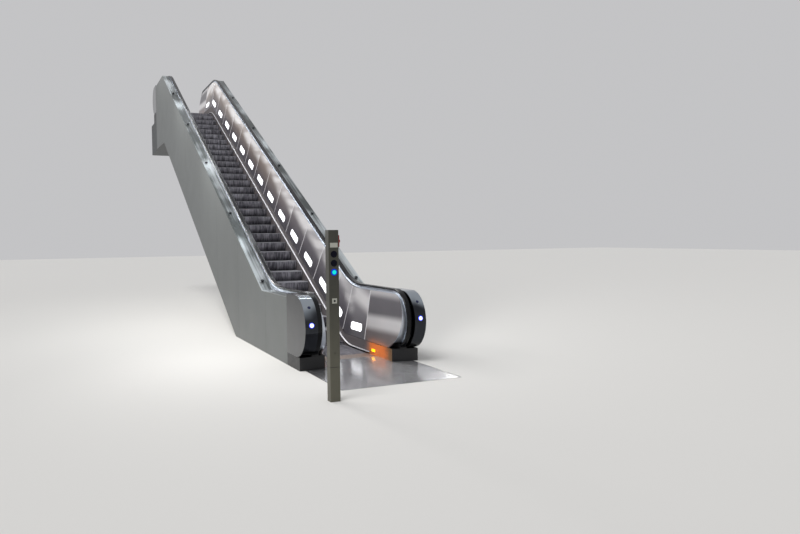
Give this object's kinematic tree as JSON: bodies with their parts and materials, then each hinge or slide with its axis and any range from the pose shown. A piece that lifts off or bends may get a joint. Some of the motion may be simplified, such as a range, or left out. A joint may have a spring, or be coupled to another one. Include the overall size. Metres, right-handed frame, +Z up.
{
  "type": "escalator",
  "caption": "Straight escalator with sheet steel balustrades, lit oval panels along both sides, rubber handrails round the newels and a signal post.",
  "frame": {"origin": "on the underside of the lower landing frame, in the middle of its width, below the lower bend of the nosing line", "axes": "+X along the travel and up the slope, +Y to the left when looking up, +Z up"},
  "size_m": [18.2112, 2.042, 6.91],
  "materials": {
    "frame_paint": "dark primer on welded plate",
    "floor_metal": "fine ribbed, worn satin",
    "comb_metal": "worn brownish metal",
    "step_metal": "dark grey die cast, worn bright at the nosing",
    "track_steel": "rolled track steel",
    "clad_steel": "satin sheet",
    "skirt_steel": "satin sheet with a row of screws",
    "rail_metal": "drawn profile",
    "bristle": "black nylon bristles",
    "panel_steel": "brushed sheet, grain along the slope",
    "light_cover": "opal cover, lit",
    "deck_steel": "satin sheet",
    "knob": "dark stops",
    "guide_steel": "bright rolled profile",
    "handrail_rubber": "polished black rubber",
    "hood_steel": "dark polished sheet",
    "base_paint": "black satin",
    "inlet_rubber": "black rubber collar",
    "lamp_clear": "lit lens",
    "lamp_amber": "lit amber lens in a steel cover",
    "post_paint": "grey olive paint",
    "lamp_blue": "dark blue signal lenses",
    "plate_metal": "small plain plates",
    "button_red": "red stop button"
  },
  "bodies": {
    "root": {"landing_frame_lower": "frame_paint", "landing_frame_upper": "frame_paint", "bearing_angle": "frame_paint", "floor_plates_lower": "floor_metal", "floor_plates_upper": "floor_metal", "comb_plate_lower": "comb_metal", "comb_plate_upper": "comb_metal", "comb_segments_lower": "comb_metal", "comb_segments_upper": "comb_metal", "steps_lower": "step_metal", "steps_slope": "step_metal", "steps_upper": "step_metal", "step_tracks": "track_steel", "cross_frames": "frame_paint", "soffit": "clad_steel", "casing_left": "clad_steel", "casing_right": "clad_steel", "skirt_left": "skirt_steel", "skirt_right": "skirt_steel", "brush_rail_left": "rail_metal", "brush_rail_right": "rail_metal", "brush_left": "bristle", "brush_right": "bristle", "inner_panels_left": "panel_steel", "inner_panels_right": "panel_steel", "panel_lights_left": "light_cover", "panel_lights_right": "light_cover", "outer_deck_left": "deck_steel", "outer_deck_right": "deck_steel", "deck_knobs": "knob", "handrail_guide_left": "guide_steel", "handrail_guide_right": "guide_steel", "handrail_left": "handrail_rubber", "handrail_right": "handrail_rubber", "newel_hoods_left": "hood_steel", "newel_hoods_right": "hood_steel", "newel_bases": "base_paint", "handrail_inlets": "inlet_rubber", "hood_lamps": "lamp_clear", "skirt_lights": "lamp_amber", "signal_post": "post_paint", "post_lamps": "lamp_blue", "post_plates": "plate_metal", "stop_button": "button_red"}
  },
  "joints": []
}
